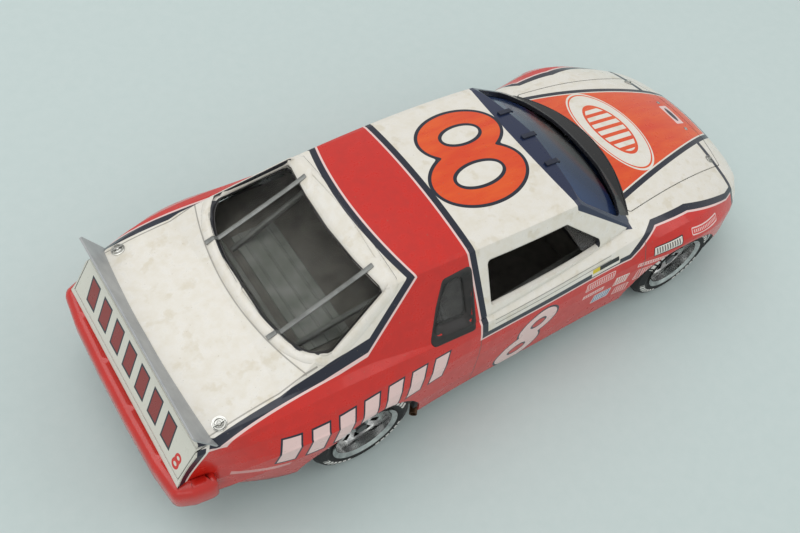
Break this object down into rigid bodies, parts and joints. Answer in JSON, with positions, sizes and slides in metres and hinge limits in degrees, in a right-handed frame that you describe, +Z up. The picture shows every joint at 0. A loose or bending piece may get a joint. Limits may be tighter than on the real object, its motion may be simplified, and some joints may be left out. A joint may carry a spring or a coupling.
{
  "type": "scale model stock car coupe",
  "caption": "Scale model of a stock-car coupe with a hollow two-door body shell, roll cage, detailed chassis and free-turning wheels.",
  "frame": {"origin": "middle of the model's box in plan, on the surface that the tyres stand on", "axes": "+X towards the nose, +Y towards the car's left, +Z up"},
  "size_m": [0.2079, 0.0844, 0.0575],
  "materials": {
    "body_paint": "glossy sprayed paint over moulded plastic, red and white with blue stripes",
    "hood_paint": "glossy sprayed paint with decals",
    "tail_paint": "glossy paint",
    "front_paint": "glossy paint",
    "dam_plastic": "moulded plastic",
    "grille_plastic": "moulded plastic",
    "lamp_plastic": "moulded plastic",
    "radiator_plastic": "moulded plastic",
    "bumper_paint": "glossy paint",
    "spoiler_plastic": "aluminium-coloured paint",
    "windshield_glass": "clear moulded plastic",
    "rear_glass": "clear moulded plastic",
    "quarter_glass": "clear moulded plastic",
    "vent_glass": "clear moulded plastic",
    "strap_metal": "silver paint",
    "clip_plastic": "black paint",
    "hood_pin_metal": "bare metal",
    "deck_pin_metal": "bare metal",
    "pan_plastic": "moulded plastic",
    "rail_plastic": "moulded plastic",
    "tub_plastic": "grey paint",
    "cage_plastic": "grey paint",
    "seat_plastic": "black paint",
    "dash_plastic": "black paint",
    "wheel_plastic": "black paint",
    "lever_plastic": "silver paint",
    "engine_plastic": "painted plastic",
    "gearbox_plastic": "painted plastic",
    "shaft_plastic": "painted plastic",
    "cell_plastic": "painted plastic",
    "pipe_metal": "metal tube",
    "front_arm_plastic": "moulded plastic",
    "knuckle_plastic": "moulded plastic",
    "rear_arm_plastic": "moulded plastic",
    "axle_plastic": "moulded plastic",
    "rim_front_left_chrome": "plated plastic",
    "tyre_front_left_rubber": "moulded rubber",
    "rim_front_right_chrome": "plated plastic",
    "tyre_front_right_rubber": "moulded rubber",
    "rim_rear_left_chrome": "plated plastic",
    "tyre_rear_left_rubber": "moulded rubber",
    "rim_rear_right_chrome": "plated plastic",
    "tyre_rear_right_rubber": "moulded rubber"
  },
  "bodies": {
    "root": {"body_shell": "body_paint", "hood": "hood_paint", "tail_panel": "tail_paint", "front_bumper": "front_paint", "front_air_dam": "dam_plastic", "grille": "grille_plastic", "headlamp_covers": "lamp_plastic", "radiator": "radiator_plastic", "rear_bumper": "bumper_paint", "rear_spoiler": "spoiler_plastic", "windshield": "windshield_glass", "rear_window": "rear_glass", "quarter_windows": "quarter_glass", "vent_panes": "vent_glass", "rear_window_straps": "strap_metal", "windshield_clips": "clip_plastic", "hood_pins": "hood_pin_metal", "deck_pins": "deck_pin_metal", "floor_pan": "pan_plastic", "frame_rails": "rail_plastic", "cabin_tub": "tub_plastic", "roll_cage": "cage_plastic", "driver_seat": "seat_plastic", "dashboard": "dash_plastic", "steering_wheel": "wheel_plastic", "gear_lever": "lever_plastic", "engine_block": "engine_plastic", "gearbox": "gearbox_plastic", "driveshaft": "shaft_plastic", "fuel_cell": "cell_plastic", "exhaust_pipes": "pipe_metal", "front_suspension": "front_arm_plastic", "front_knuckles": "knuckle_plastic", "rear_suspension": "rear_arm_plastic", "rear_axle": "axle_plastic"},
    "wheel_front_left": {"rim_front_left": "rim_front_left_chrome", "tyre_front_left": "tyre_front_left_rubber"},
    "wheel_front_right": {"rim_front_right": "rim_front_right_chrome", "tyre_front_right": "tyre_front_right_rubber"},
    "wheel_rear_left": {"rim_rear_left": "rim_rear_left_chrome", "tyre_rear_left": "tyre_rear_left_rubber"},
    "wheel_rear_right": {"rim_rear_right": "rim_rear_right_chrome", "tyre_rear_right": "tyre_rear_right_rubber"}
  },
  "joints": [
    {"name": "front_left_spin", "type": "hinge", "parent": "root", "child": "wheel_front_left", "pos_m": [0.0649, 0.036, 0.0152], "axis": [0, 1, 0], "continuous": true},
    {"name": "front_right_spin", "type": "hinge", "parent": "root", "child": "wheel_front_right", "pos_m": [0.0649, -0.036, 0.0152], "axis": [0, 1, 0], "continuous": true},
    {"name": "rear_left_spin", "type": "hinge", "parent": "root", "child": "wheel_rear_left", "pos_m": [-0.0515, 0.036, 0.0152], "axis": [0, 1, 0], "continuous": true},
    {"name": "rear_right_spin", "type": "hinge", "parent": "root", "child": "wheel_rear_right", "pos_m": [-0.0515, -0.036, 0.0152], "axis": [0, 1, 0], "continuous": true}
  ]
}
